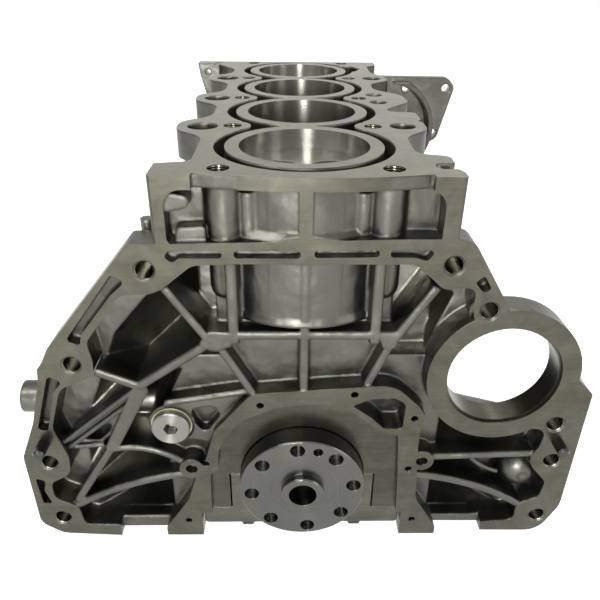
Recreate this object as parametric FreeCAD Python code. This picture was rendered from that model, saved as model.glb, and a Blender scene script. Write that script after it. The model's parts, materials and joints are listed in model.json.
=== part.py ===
import FreeCAD, Part
import math
import os

# Four-cylinder engine short block: an open-deck aluminium casting with its bell-housing flange,
# main bearing caps, crankshaft, connecting rods and pistons.
# Millimetres. X points across the engine, Y from the flywheel end towards the front, Z up.
# The origin is on the crankshaft's axis, in the plane of the machined flywheel-end face.

# ---- driving dimensions -------------------------------------------------------------------

# cylinders and deck
BORE_R = 42.0                # cylinder bore
BORE_PITCH = 102.0           # from one cylinder to the next
CYLINDERS = 4
END_ROW_Y = 15.0             # row of head bolts nearest the flywheel
FIRST_BORE_Y = END_ROW_Y + BORE_PITCH / 2
DECK_Z = 225.0               # crankshaft axis to deck
BORE_BOTTOM_Z = 88.0         # lower end of the cylinder walls
LINER_R = 51.0               # outside of the free-standing cylinder tower
JACKET_R = 58.0              # outside of the water jacket
JACKET_WALL = 6.5            # casting outside the water jacket
JACKET_FLOOR_Z = 140.0
HEAD_BOLT_X = 50.0           # head bolts stand either side of the bores, midway between them
HEAD_BOLT_R = 6.5
HEAD_BOLT_DEPTH = 68.0
BOLT_BOSS_R = 13.0

# block
FRONT_LAND = 11.0            # deck ahead of the last row of head bolts
RAIL_Z = -57.5               # sump rail
DECK_WAIST_X = 67.5          # deck edge beside a bore
DECK_LOBE_X = 89.0           # deck edge beside a head bolt
SKIRT_X = 97.0               # outside of the crankcase skirt
CRANKCASE_R = 88.0           # room for the crank throws and rods
BULKHEAD_T = 24.0
REAR_RECESS = 5.5            # seal recess and rear cap, behind the machined face
REAR_WALL_Y = 27.0           # inner face of the rear bulkhead
REAR_COUNTERBORE_Y = 9.5
SEAL_GAP = 0.8
SEAL_SCREWS = [(-29, 67), (34, 76), (-68.5, 15), (76, 55.5), (76, 9.5), (-85, -42), (83.5, -42)]
SEAL_DOWELS = [(-79, 10), (85, 16.5)]
SIDE_BOSS_X = -206.0
SIDE_BOSS_Y = 45.0
SIDE_BOSS_Z = 41.0
SIDE_BOSS_R = 12.0
ACCESSORY_HOLES = [(112, 213.5), (153, 213.5), (144, 167.5)]
SKIRT_SETBACK = 9.0

# bell-housing flange
FLANGE_LEFT_X = -195.5
FLANGE_RIGHT_X = 193.5
FLANGE_T = 22.0
LEDGE_Z = 184.0              # top of the flange, where the rear pillars begin
BAND_Z = 172.0               # underside of the cross band
SHELL_T = 8.0                # wall of the bell-shaped shell behind the flange
SHELL_END_Y = 86.0           # where the shell runs into the crankcase
STARTER_X = 131.3
STARTER_Z = 89.6
STARTER_R = 36.6
STARTER_RIM = 14.0
STARTER_DEPTH = 20.0
BELL_BOLT_R = 5.6
BELL_BOLT_BOSS_R = 12.5
BELL_BOLT_DEPTH = 30.0
LOWER_BOLT_X = 178.5         # the four lower bolts make a rectangle
LOWER_BOLT_Z = (16.5, -38.5)
DOWEL_R = 4.0
DOWEL_X = 179.0
DOWEL_Z = 34.0
DOWEL_PROUD = 12.0
DOWEL_SEAT = 14.0
SKIRT_LIP_Z = RAIL_Z + 10.5   # top of the wall that closes the pockets below
DECK_FLANGE_T = 20.0
LIP_Z = 217.0                # underside of the deck's rear lip
PILLAR_L = -80.0             # inner edges of the rear pillars
PILLAR_R = 78.5
GRID_Y = 0.7                 # crests of the cast ribs lie just behind the machined face

# oil-gallery plug
PLUG_X = -91.0
PLUG_Z = 45.5
PLUG_FACE_Y = 8.0
PLUG_R = 13.2
PLUG_SHANK_R = 9.0
PLUG_SHANK = 14.0
PLUG_HEAD_T = 5.0
PLUG_WASHER_T = 1.5
PLUG_HEX_AF = 9.0

# crankshaft
STROKE = 90.0
MAIN_R = 27.5
PIN_R = 24.0
MAIN_LENGTH = 26.0
PIN_LENGTH = 24.0
CRANK_ANGLE = 40.5           # rest position, from top dead centre of the outer cylinders
COUNTERWEIGHT_R = 72.0
CRANK_FLANGE_R = 44.2
CRANK_FLANGE_Y = -10.0
CRANK_FLANGE_T = 18.0
FLYWHEEL_PCD_R = 36.2
FLYWHEEL_BOLTS = 8
FLYWHEEL_HOLE_R = 5.2
FLYWHEEL_FIRST_ANGLE = 96.0  # first hole, from +X towards +Z
PILOT_R = 9.8
PILOT_HUB_R = 15.0
PILOT_HUB_PROUD = 5.5
PILOT_DEPTH = 32.0
NOSE_R = 18.0
NOSE_LENGTH = 56.0
KEYWAY_W = 6.0

# bearings and fits
SHELL_BEARING_T = 2.0
OIL_CLEARANCE = 0.04
CAP_GAP = 1.2                # side gap between a cap and its register
CAP_HALF_W = 52.0
CAP_EAR_X = 73.5
CAP_EAR_TOP_Z = -34.0
CAP_BOTTOM_Z = -50.0
CAP_BOLT_X = 41.5
CAP_BOLT_R = 5.0
CAP_BOLT_LENGTH = 82.0
BOLT_CLEARANCE = 0.3

# thrust washers, beside the middle main bearing
THRUST_R0 = 30.0
THRUST_R1 = 38.0
THRUST_SEAT = 2.0
THRUST_PLAY = 0.05

# piston and rod
ROD_LENGTH = 150.0
COMPRESSION_HEIGHT = 30.0    # wrist pin to crown
PISTON_CLEARANCE = 0.05
PISTON_SKIRT = 22.0          # wrist pin to the skirt's lower edge
WRIST_PIN_R = 10.5
WRIST_PIN_LENGTH = 62.0
PIN_FIT = 0.03
EYE_CLEARANCE = 0.6          # radial room in the rod's small end, the pivot left open
ROD_WIDTH = 22.0
BIG_END_R = 33.0
SMALL_END_R = 15.5
ROD_BOLT_X = 30.5
ROD_BOLT_R = 3.6
ROD_BOLT_HEAD_R = 6.0
ROD_BOLT_HEAD_T = 6.0
ROD_BOLT_REACH = 22.0        # above the parting line
ROD_CAP_SEAT = 13.0          # parting line to the bolt head's seat
RING_GROOVES = [(22.5, 1.2), (17.5, 1.2), (11.5, 2.5)]
RING_WALL = 3.4
CLIP_Y = 31.0
VALVE_RELIEF = 1.6

V = FreeCAD.Vector
X_AXIS = V(1, 0, 0)
Y_AXIS = V(0, 1, 0)
Z_AXIS = V(0, 0, 1)

BORES = [FIRST_BORE_Y + BORE_PITCH * k for k in range(CYLINDERS)]
ROWS = [FIRST_BORE_Y + BORE_PITCH * (k - 0.5) for k in range(CYLINDERS + 1)]
BLOCK_LENGTH = ROWS[-1] + FRONT_LAND
THROW = STROKE / 2
MAIN_HOUSING_R = MAIN_R + OIL_CLEARANCE + SHELL_BEARING_T
THRUST_ROW = ROWS[2]
BIG_END_BORE_R = PIN_R + OIL_CLEARANCE + SHELL_BEARING_T


# ---- drawing helpers ----------------------------------------------------------------------

def in_xz(y):
    return lambda a, b: V(a, y, b)


def in_xy(z):
    return lambda a, b: V(a, b, z)


def rounded_wire(corners, place):
    """A closed outline; each corner is (a, b) or (a, b, corner radius)."""
    points = [(c[0], c[1], c[2] if len(c) > 2 else 0.0) for c in corners]
    count = len(points)
    arrivals = []
    departures = []
    middles = []
    for i in range(count):
        ax, ay, _ = points[i - 1]
        bx, by, radius = points[i]
        cx, cy, _ = points[(i + 1) % count]
        to_a = math.hypot(ax - bx, ay - by)
        to_c = math.hypot(cx - bx, cy - by)
        ua = ((ax - bx) / to_a, (ay - by) / to_a)
        uc = ((cx - bx) / to_c, (cy - by) / to_c)
        half = math.acos(max(-1.0, min(1.0, ua[0] * uc[0] + ua[1] * uc[1]))) / 2
        if radius <= 0 or half > math.pi / 2 - 0.01:
            arrivals.append((bx, by))
            departures.append((bx, by))
            middles.append(None)
            continue
        reach = min(radius / math.tan(half), 0.49 * to_a, 0.49 * to_c)
        radius = reach * math.tan(half)
        bisector = (ua[0] + uc[0], ua[1] + uc[1])
        size = math.hypot(bisector[0], bisector[1])
        away = radius / math.sin(half) - radius
        arrivals.append((bx + ua[0] * reach, by + ua[1] * reach))
        departures.append((bx + uc[0] * reach, by + uc[1] * reach))
        middles.append((bx + bisector[0] / size * away, by + bisector[1] / size * away))
    edges = []
    for i in range(count):
        if middles[i] is not None:
            edges.append(Part.Arc(place(*arrivals[i]), place(*middles[i]), place(*departures[i])).toShape())
        start = place(*departures[i])
        end = place(*arrivals[(i + 1) % count])
        if start.distanceToPoint(end) > 1e-6:
            edges.append(Part.LineSegment(start, end).toShape())
    return Part.Wire(edges)


def plate(corners, y0, y1):
    """An outline in XZ, extruded along Y."""
    return Part.Face(rounded_wire(corners, in_xz(y0))).extrude(V(0, y1 - y0, 0))


def slab(corners, z0, z1):
    """An outline in XY, extruded along Z."""
    return Part.Face(rounded_wire(corners, in_xy(z0))).extrude(V(0, 0, z1 - z0))


def taper(corners0, y0, corners1, y1):
    """A straight loft between two outlines with as many corners, in XZ planes."""
    return Part.makeLoft([rounded_wire(corners0, in_xz(y0)), rounded_wire(corners1, in_xz(y1))], True, True)


def box(x0, x1, y0, y1, z0, z1):
    return Part.makeBox(x1 - x0, y1 - y0, z1 - z0, V(x0, y0, z0))


def pin_x(y, z, radius, x0, x1):
    return Part.makeCylinder(radius, x1 - x0, V(x0, y, z), X_AXIS)


def pin_y(x, z, radius, y0, y1):
    return Part.makeCylinder(radius, y1 - y0, V(x, y0, z), Y_AXIS)


def pin_z(x, y, radius, z0, z1):
    return Part.makeCylinder(radius, z1 - z0, V(x, y, z0), Z_AXIS)


def cone_y(x, z, r0, r1, y0, y1):
    return Part.makeCone(r0, r1, y1 - y0, V(x, y0, z), Y_AXIS)


def fuse(shapes):
    shapes = list(shapes)
    if len(shapes) == 1:
        return shapes[0]
    return shapes[0].multiFuse(shapes[1:])


def turned(shape, degrees, centre=V(0, 0, 0)):
    """Turned about +Y through a point."""
    copy = shape.copy()
    copy.rotate(centre, Y_AXIS, degrees)
    return copy


def moved(shape, x=0.0, y=0.0, z=0.0):
    copy = shape.copy()
    copy.translate(V(x, y, z))
    return copy


def half_ring(r0, r1, y0, y1, side):
    """The upper (side 1) or lower (side -1) half of a ring about the crank axis."""
    ring = pin_y(0, 0, r1, y0, y1).cut(pin_y(0, 0, r0, y0 - 1, y1 + 1))
    if side > 0:
        return ring.common(box(-r1 - 1, r1 + 1, y0, y1, 0, r1 + 1))
    return ring.common(box(-r1 - 1, r1 + 1, y0, y1, -r1 - 1, 0))


def hexagon(x, y, across_flats, z0, z1):
    radius = across_flats / math.sqrt(3)
    corners = [(x + radius * math.cos(math.radians(60 * k)), y + radius * math.sin(math.radians(60 * k)))
               for k in range(6)]
    return slab(corners, z0, z1)


def rib_section(at, across, width, front, back, crest, draft):
    """A rib's section: its crest faces the flywheel end, and it thickens towards its root."""
    half = width / 2
    corners = [(-half - draft, back), (-half, front, crest), (half, front, crest), (half + draft, back)]
    return rounded_wire(corners, lambda u, y: V(at[0] + across[0] * u, y, at[1] + across[1] * u))


def straight_rib(start, end, width, front, back, crest=2.0, draft=2.0):
    length = math.hypot(end[0] - start[0], end[1] - start[1])
    across = (-(end[1] - start[1]) / length, (end[0] - start[0]) / length)
    section = rib_section(start, across, width, front, back, crest, draft)
    return Part.Face(section).extrude(V(end[0] - start[0], 0, end[1] - start[1]))


def curved_rib(start, middle, end, width, front, back, crest=2.0, draft=2.0):
    """A rib along the arc through three points."""
    arc = Part.Arc(V(start[0], 0, start[1]), V(middle[0], 0, middle[1]), V(end[0], 0, end[1]))
    centre = arc.toShape().Curve.Center
    to_start = V(start[0], 0, start[1]) - centre
    to_end = V(end[0], 0, end[1]) - centre
    across = (to_start.x / to_start.Length, to_start.z / to_start.Length)
    section = rib_section(start, across, width, front, back, crest, draft)
    angle = math.degrees(math.atan2(to_start.cross(to_end).dot(Y_AXIS), to_start.dot(to_end)))
    return Part.Face(section).revolve(centre, Y_AXIS, angle)


# ---- the block casting: outlines ------------------------------------------------------------

def deck_outline(reach):
    """Plan of the deck: lobes at the bolt rows, waists beside the bores. reach is a lobe's half width."""
    waist = DECK_WAIST_X
    left = [(-reach + 1, 0, 2), (-reach + 1, 24, 3), (-waist, 28, 7)]
    right = [(reach, 0, 2), (reach, 9, 4), (reach - 2, 15, 4), (reach - 1, 42, 6), (waist + 1, 47, 10)]
    for k, row in enumerate(ROWS[1:-1]):
        left += [(-waist, row - 32, 24), (-reach, row - 12, 18),
                 (-reach, row + 13, 18), (-waist, row + 28, 24)]
        if k == 0:
            right += [(waist + 1, row - 30, 24), (reach - 1, row - 8, 16), (reach, row + 47, 5),
                      (waist + 1, row + 50, 8)]
        elif k == 1:
            right += [(waist, row - 44, 8), (reach + 2, row - 13, 16), (reach, row + 17, 20),
                      (waist, row + 42, 24)]
        else:
            right += [(waist + 1, row - 30, 16), (reach, row - 9, 8), (reach - 3, row + 18, 10),
                      (waist + 9, row + 36, 16), (waist + 9, row + 80, 10)]
    front = BLOCK_LENGTH
    left += [(-waist - 1, ROWS[-1] - 46, 16), (-reach, ROWS[-1] - 12, 10), (-reach - 1, front)]
    right += [(reach - 1, ROWS[-1] - 12, 6), (reach - 1, front)]
    return left + right[::-1]


def bell_outline():
    """The flange's outside, clockwise from the left pillar's foot, seen from the flywheel end."""
    left = FLANGE_LEFT_X
    right = FLANGE_RIGHT_X
    return [(-60, LEDGE_Z + 1), (-104, LEDGE_Z, 4), (left + 33, 112, 8),
            (left + 27, 100, 3), (left + 24, 97, 3),
            (left + 23, 88, 8), (left + 13, 53, 30), (left, 22, 14), (left, RAIL_Z + 14, 12),
            (left + 15, RAIL_Z + 3, 14), (-137, RAIL_Z), (-75, RAIL_Z), (-75, -20), (75, -20), (75, RAIL_Z),
            (101, RAIL_Z), (101, RAIL_Z + 4), (right - 12, RAIL_Z + 3, 16), (right, -28, 20),
            (right, 76, 2), (right - 10, 86, 3), (STARTER_X + 40, STARTER_Z, 10), (STARTER_X, 120, 5),
            (124, 145, 10), (99, LEDGE_Z + 1, 8), (88, LEDGE_Z + 4, 3), (60, LEDGE_Z + 4)]


def left_window():
    """The land's inner edge on the left: everything inside it lies back behind the machined face."""
    return [(-40, BAND_Z), (-67, BAND_Z - 1, 12), (-86, 155, 6), (-95, 151.5, 12), (-112, 151.5, 12),
            (-137, 117, 10), (-135, 103, 10), (-136, 92, 10), (-160, 81, 12), (-171, 47, 16), (-164, 22, 12),
            (-165, 6, 12), (-181, -3, 8), (-181, -19, 8), (-165, -27, 12), (-163, -46, 5),
            (-130, SKIRT_LIP_Z),
            (-30, SKIRT_LIP_Z)]


def right_window():
    return [(40, BAND_Z), (64, BAND_Z + 1, 14), (84, 155, 8), (104, 157, 7), (103, 143, 5), (107, 128, 10),
            (97, 112, 16), (89, 91, 24), (92, 68, 20), (108, 47, 20), (135, 41, 20),
            (150, 47, 12), (169, 46, 8),
            (167, 30, 10), (161, 16, 12), (178, -4, 8), (176, -20, 8), (160, -27, 10), (162, -43, 6),
            (130, SKIRT_LIP_Z),
            (30, SKIRT_LIP_Z)]


def seal_land_outline():
    """Machined land around the rear main seal."""
    return [(-75, RAIL_Z), (-102, RAIL_Z), (-102, RAIL_Z + 8, 3), (-83, -20, 30), (-77, 0, 8), (-68, 20, 10),
            (-61, 45, 12), (-35, 76, 10), (17, 80.5, 60), (60, 83.5, 22), (78, 66, 12), (84, 57, 5),
            (81, 50, 6), (81, 30, 4), (83, 0, 30), (84, -20, 20), (102, -50, 6), (102, RAIL_Z), (75, RAIL_Z)]


def seal_recess_outline():
    return [(-75, RAIL_Z - 5), (-67, RAIL_Z + 20), (-66, 5, 5), (-60, 9, 5), (-59, 28, 20), (-46, 52, 30),
            (-20, 64.5, 10), (0, 68, 40), (28, 66.5, 30), (54, 43.5, 6), (66, 42, 5), (69, 0),
            (71, RAIL_Z + 20),
            (75, RAIL_Z - 5)]


# ---- the block casting: solids --------------------------------------------------------------

def deck_body():
    """Cylinder block above the crankcase: a deck flange over walls that stand a little further in."""
    flange = slab(deck_outline(DECK_LOBE_X), DECK_Z - DECK_FLANGE_T, DECK_Z)
    walls = slab(deck_outline(DECK_LOBE_X - 4), BORE_BOTTOM_Z, DECK_Z - DECK_FLANGE_T + 1)
    return flange.fuse(walls)


def deck_lip():
    """The deck's rear edge, bowed out round the end cylinder."""
    ends = [V(-70, 6, LIP_Z), V(-60, 4.4, LIP_Z), V(68, 4.4, LIP_Z), V(76, 6, LIP_Z)]
    bow = Part.Arc(ends[1], V(-3, -2.9, LIP_Z), ends[2]).toShape()
    edges = [Part.LineSegment(ends[0], ends[1]).toShape(), bow, Part.LineSegment(ends[2], ends[3]).toShape()]
    back = [V(76, 20, LIP_Z), V(-70, 20, LIP_Z)]
    edges += [Part.LineSegment(ends[3], back[0]).toShape(), Part.LineSegment(back[0], back[1]).toShape(),
              Part.LineSegment(back[1], ends[0]).toShape()]
    return Part.Face(Part.Wire(edges)).extrude(V(0, 0, DECK_Z - LIP_Z))


def rear_panel_cut():
    """The hollow between the rear pillars, under the deck lip and above the cross band."""
    left = PILLAR_L
    right = PILLAR_R
    under = plate([(left, LEDGE_Z, 4), (left, LIP_Z, 10), (right, LIP_Z, 10), (right, LEDGE_Z, 4)], -5, 24)
    beside_lip = box(-64, 71, -5, 18, LIP_Z - 1, DECK_Z + 1)
    return [under, beside_lip]


def rear_panel_forms():
    """What shows in that hollow: the water jacket, bolt columns, centre rib and pocket floors."""
    z0 = LEDGE_Z - 1
    z1 = LIP_Z + 1
    jacket_r = JACKET_R + JACKET_WALL
    forms = [pin_z(0, FIRST_BORE_Y, jacket_r, z0, z1)]
    forms.append(Part.makeCone(jacket_r + 7, jacket_r, 8, V(0, FIRST_BORE_Y + 1, LEDGE_Z), Z_AXIS))
    forms.append(box(-4, 3.6, 0, 20, z0, z1))
    for side in (-1, 1):
        forms.append(pin_z(side * (HEAD_BOLT_X - 2), ROWS[0], 11.5, z0, z1))
        forms.append(pin_z(side * 33.5, 13, 6.0, z0, LIP_Z - 4))
    forms.append(box(PILLAR_L - 1, PILLAR_R + 1, 14, 30, z0, z1))
    forms.append(plate([(-58, LEDGE_Z - 1), (-58, 194, 2), (-75, 193, 3), (-76, LEDGE_Z - 1)], 4, 20))
    boss = plate([(-82, 203, 3), (-80, 215, 4), (-66, 213, 6), (-66, 206, 6)], 1.5, 20)
    forms.append(boss)
    return forms


def band_slots():
    """Lightening slots along the machined cross band."""
    slots = [[(-83, 176, 2.4), (-78, 172.6, 2), (-74, 175.5, 5), (-49, 175.5, 2.2), (-49, 180.2, 2.2),
              (-80, 180.2, 2.2)],
             [(-42, 175.6, 2.2), (-3, 175.6, 2.2), (-3, 180.4, 2.2), (-42, 180.4, 2.2)],
             [(5, 176, 2.2), (43, 176.6, 2.2), (43, 181.2, 2.2), (5, 180.8, 2.2)],
             [(49.5, 176.4, 2.2), (64, 176.4, 6), (72, 174, 2), (76.5, 181, 2.2), (49.5, 181.4, 2.2)]]
    return [plate(outline, -1, 7) for outline in slots]


def flange_slots():
    """Lightening slots in the flange's land."""
    outlines = [[(-115, 165, 2), (-107, 160, 3), (-117, 151, 8),
                 (-139, 123, 6), (-141, 115, 2), (-150, 118, 3)],
                [(-166, 92, 3), (-157, 87, 3), (-164, 79, 8), (-174, 45, 3), (-181, 46, 3)],
                [(-191.5, 2, 2), (-184, -1, 2), (-187, -10, 6), (-183, -24, 3), (-190, -24, 2)],
                [(102, 160, 2), (107, 165, 2), (113, 155, 3), (108, 153, 3)]]
    return [plate(outline, -1, 9) for outline in outlines]


def crankcase():
    """Skirts and shoulders around the crank, the full length of the block."""
    corners = [(-SKIRT_X, RAIL_Z), (-SKIRT_X, 55, 18), (-72, 108, 20), (-DECK_WAIST_X + 1, 140), (-50, 172),
               (50, 172), (DECK_WAIST_X - 1, 140), (72, 108, 20), (SKIRT_X, 55, 18), (SKIRT_X, RAIL_Z)]
    return plate(corners, 14, BLOCK_LENGTH - 2)


def front_wall():
    corners = [(-113, DECK_Z), (-111, 212, 6), (-105, 190, 20), (-96, 120, 20), (-106, 50, 20),
               (-106, RAIL_Z),
               (102, RAIL_Z), (104, 50, 20), (88, 120, 20), (88, DECK_Z)]
    wall = plate(corners, BLOCK_LENGTH - 18, BLOCK_LENGTH)
    inside = [(-94, 205, 10), (-84, 120, 12), (-90, 70, 12), (-90, RAIL_Z + 14, 6), (-60, RAIL_Z + 14, 6),
              (-56, 40, 30), (0, 62, 40), (56, 40, 30), (60, RAIL_Z + 14, 6), (88, RAIL_Z + 14, 6),
              (88, 70, 12),
              (74, 120, 12), (74, 205, 10)]
    return wall.cut(plate(inside, BLOCK_LENGTH - 5, BLOCK_LENGTH + 1))


def sump_rail():
    """Flange along the lower edge, swelling at its bolts."""
    corners = []
    step = (BLOCK_LENGTH - 30) / 6
    for side in (-1, 1):
        run = [(side * 108, 20)]
        for k in range(6):
            mid = 20 + step * (k + 0.5)
            run += [(side * 108, mid - 24, 6), (side * 102, mid - 16, 6), (side * 102, mid + 16, 6),
                    (side * 108, mid + 24, 6)]
        run += [(side * 108, BLOCK_LENGTH - 1)]
        corners += run if side < 0 else run[::-1]
    return slab(corners, RAIL_Z, RAIL_Z + 11)


def side_forms():
    """Bosses and ribs on the outer sides."""
    forms = []
    for side in (-1, 1):
        for row in ROWS[1:-1]:
            forms.append(box(min(side * 60, side * (SKIRT_X + 4)), max(side * 60, side * (SKIRT_X + 4)),
                             row - 4, row + 4, RAIL_Z + 5, 62))
    forms.append(pin_x(SIDE_BOSS_Y, SIDE_BOSS_Z, SIDE_BOSS_R, SIDE_BOSS_X, -100))
    forms.append(pin_z(-97, 30, 4, 160, 189))
    return forms


def accessory_plate():
    """Upright bracket plate on the right near the front, with its round housing wall."""
    y0 = 336
    y1 = 346
    outline = [(70, DECK_Z - 0.5), (154, DECK_Z - 1, 8), (162, 215, 7), (149, 162, 10),
               (140, 157, 8), (112, 120, 20),
               (80, 90), (60, 90)]
    wall = plate(outline, y0, y1)
    ring = pin_y(89, 176, 50.5, y0 - 20, y1).cut(pin_y(89, 176, 45.5, y0 - 21, y0))
    ring = ring.common(box(70, 200, y0 - 30, y1, 100, 221))
    wall = wall.fuse(ring)
    holes = [pin_y(x, z, 4.2, y0 - 1, y1 + 1) for x, z in ACCESSORY_HOLES]
    return wall.cut(fuse(holes))


# ---- the bell housing -----------------------------------------------------------------------

def bell_shells():
    """The three tapering shells that carry the flange from the crankcase, and the hollows in them."""
    y0 = FLANGE_T - 2
    y1 = SHELL_END_Y
    t = SHELL_T
    low = RAIL_Z + 1
    left_out = [(-55, 183), (-100, 183), (-160, 110), (-190, 20), (-190, low), (-60, low)]
    left_end = [(-55, 150), (-70, 150), (-76, 112), (-99, 50), (-99, low), (-60, low)]
    left_in = [(-30, BAND_Z), (-88, BAND_Z), (-146, 112), (-181, 20),
               (-181, SKIRT_LIP_Z), (-30, SKIRT_LIP_Z)]
    left_floor = [(-30, 140), (-62, 140), (-68, 112), (-91, 50), (-91, -46), (-30, -46)]
    upper_out = [(55, 183), (99, 183), (119, 148), (99, 112), (93, 88), (98, 50), (55, 50)]
    upper_end = [(55, 150), (70, 150), (72, 135), (76, 112), (86, 84), (98, 50), (55, 50)]
    upper_in = [(30, BAND_Z), (88, BAND_Z), (108, 146), (92, 112), (87, 89), (87, 45), (30, 45)]
    upper_floor = [(30, 140), (62, 140), (64, 130), (68, 112), (78, 84), (90, 45), (30, 45)]
    lower_out = [(55, 60), (100, 52), (125, 40), (160, 48), (188, 45), (188, low), (60, low)]
    lower_end = [(55, 58), (92, 50), (98, 34), (99, 20), (99, 5), (99, low), (60, low)]
    lower_in = [(30, 60), (90, 46), (122, 36), (158, 42), (180, 38), (180, SKIRT_LIP_Z), (30, SKIRT_LIP_Z)]
    lower_floor = [(30, 50), (84, 40), (90, 30), (91, 16), (91, 4), (91, -46), (30, -46)]
    shells = [taper(left_out, y0, left_end, y1), taper(upper_out, y0, upper_end, y1),
              taper(lower_out, y0, lower_end, y1)]
    hollows = [taper(left_in, -1, left_floor, y1 - t), taper(upper_in, -1, upper_floor, y1 - t),
               taper(lower_in, -1, lower_floor, y1 - t)]
    return shells, hollows


def flange_plate():
    """The machined land, its windows open."""
    land = plate(bell_outline(), 0, FLANGE_T)
    windows = [plate(left_window(), -1, FLANGE_T + 1), plate(right_window(), -1, FLANGE_T + 1),
               box(-41, 41, -1, FLANGE_T + 1, RAIL_Z - 5, BAND_Z)]
    for side in (-1, 1):
        x0, x1 = sorted((side * 98, side * 137))
        windows.append(box(x0, x1, -1, SKIRT_SETBACK, RAIL_Z - 5, SKIRT_LIP_Z + 1))
    return land.cut(fuse(windows))


def bell_bolts():
    """Bolt holes in the flange: (x, z)."""
    upper = [(-95, 167.5), (-149, 100), (88, 171), (114, 140), (174, 50)]
    lower = [(side * LOWER_BOLT_X, z) for z in LOWER_BOLT_Z for side in (-1, 1)]
    return upper + lower


def starter_ring():
    rim = pin_y(STARTER_X, STARTER_Z, STARTER_R + STARTER_RIM, 0, STARTER_DEPTH)
    tab = pin_y(STARTER_X - 27, STARTER_Z + 14, 9, STARTER_DEPTH - 4, STARTER_DEPTH + 8)
    return [rim, tab]


def rib_forms():
    """Ribs and bosses that stand in the hollows of the flywheel end."""
    deep = SHELL_END_Y
    node = (-56, 116)
    knot = (-109, 81)
    right_node = (56, 117)
    forms = []
    # the grid in the middle
    forms.append(straight_rib((-44.5, 116), (-44.5, BAND_Z + 2), 7, GRID_Y, deep))
    forms.append(straight_rib((44.5, 116), (44.5, BAND_Z + 2), 7, GRID_Y, deep))
    forms.append(straight_rib((0, 70), (0, BAND_Z + 2), 6, GRID_Y, 30))
    forms.append(straight_rib((-60, 121.5), (57, 121.5), 6, GRID_Y, deep))
    forms.append(plate([(-68, 114, 3), (-60, 125, 4), (-46, 124), (-46, 114), (-56, 110, 6)], GRID_Y, deep))
    forms.append(plate([(46, 124), (60, 124, 3), (58, 111, 4), (50, 113)], GRID_Y, deep))
    # fans
    forms.append(straight_rib((-85, 155), (-60, 117), 5.5, 0.5, deep))
    forms.append(straight_rib(node, (-32, 72), 5.5, 1.5, deep))
    forms.append(straight_rib((80, 156), right_node, 6, 0.5, deep))
    forms.append(straight_rib(right_node, (42, 82), 6, 1.5, deep))
    forms.append(straight_rib((-62, 114), knot, 6.5, 1.5, deep))
    forms.append(straight_rib(knot, (-136, 93), 6.5, 2, deep))
    forms.append(straight_rib((-111, 79), (-166, 33), 3.5, 2.5, deep, 1.5, 1))
    forms.append(straight_rib((-107, 74.5), (-164, 27), 3.5, 3.5, deep, 1.5, 1))
    forms.append(straight_rib((-109, 77), (-165, 30), 8, 6, deep, 1))
    web = plate([(-110, 79), (-163, 28), (-143, 27), (-131, 38)], 9, deep)
    opening = [(-141, 47, 3), (-133, 44, 2), (-135, 38, 2), (-143, 30, 4), (-157, 30, 2)]
    forms.append(web.cut(plate(opening, 0, 26)))
    rib = [(-112, 82, 3), (-104, 84, 3), (-103, 77, 3), (-131, 24, 4), (-139, 26, 4)]
    forms.append(plate(rib, 2.5, deep))
    forms.append(straight_rib((-130, 34), (-167, -26), 6, 2.5, deep))
    forms.append(curved_rib((-133, 26), (-107, 25), (-84, 12), 5, 2.5, deep))
    forms.append(curved_rib((-166, -28), (-125, -7.5), (-82, 3), 5.5, 1.5, deep))
    forms.append(straight_rib((-163, 25), (-140, 27), 4, 6, deep))
    forms.append(straight_rib((-93, 66), (-36, 76), 4.5, 3, deep))
    web = plate([(-95, 64), (-38, 75), (-60, 45), (-66, 30), (-80, 33), (-91, 34)], 6, deep)
    opening = [(-76, 60, 4), (-61, 62, 4), (-56, 55, 4), (-68, 38, 4), (-77, 50, 5)]
    forms.append(web.cut(plate(opening, 0, 26)))
    forms.append(straight_rib((90, 18.5), (165, 21.5), 5.5, 1.5, deep))
    forms.append(curved_rib((80, 2), (122, -7.5), (166, -31), 6, 1, deep))
    forms.append(curved_rib((118, 18), (128, 6), (145, -3), 4, 9, deep))
    # bosses
    forms.append(pin_y(PLUG_X, PLUG_Z, 16, PLUG_FACE_Y, deep))
    forms.append(pin_y(-79, 10, 8.5, 0, deep))
    forms.append(pin_y(85, 17, 8.5, 0, deep))
    for x, z in bell_bolts():
        forms.append(cone_y(x, z, BELL_BOLT_BOSS_R, BELL_BOLT_BOSS_R + 2, 1, BELL_BOLT_DEPTH + 12))
    dowel_boss_y = DOWEL_SEAT + 10
    for side in (-1, 1):
        forms.append(pin_y(side * DOWEL_X, DOWEL_Z, 10, 1, dowel_boss_y))
    ball = Part.makeSphere(17, V(163, 22, -4))
    forms.append(ball)
    return forms


def rear_wall_pockets():
    """Beside the bolt columns the rear wall lies further back."""
    return [box(x0, x1, -1, 30, 99, BAND_Z) for x0, x1 in ((-92, -56), (56, 92))]


def rear_wall_forms():
    """The bulkhead behind the flywheel end, the round cylinder wall above it and its ledges."""
    jacket_r = JACKET_R + JACKET_WALL
    foot_z = JACKET_FLOOR_Z - 12
    forms = [pin_z(0, FIRST_BORE_Y, jacket_r, foot_z, BAND_Z + 5)]
    forms.append(Part.makeCone(jacket_r + 4, jacket_r, 10, V(0, FIRST_BORE_Y + 2, foot_z), Z_AXIS))
    for side in (-1, 1):
        column = pin_z(side * (HEAD_BOLT_X - 1), ROWS[0], 9.5, 152, BAND_Z + 4)
        foot = Part.makeSphere(9.5, V(side * (HEAD_BOLT_X - 1), ROWS[0], 152))
        forms += [column, foot]
    return forms


# ---- the block casting: machining -----------------------------------------------------------

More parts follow.
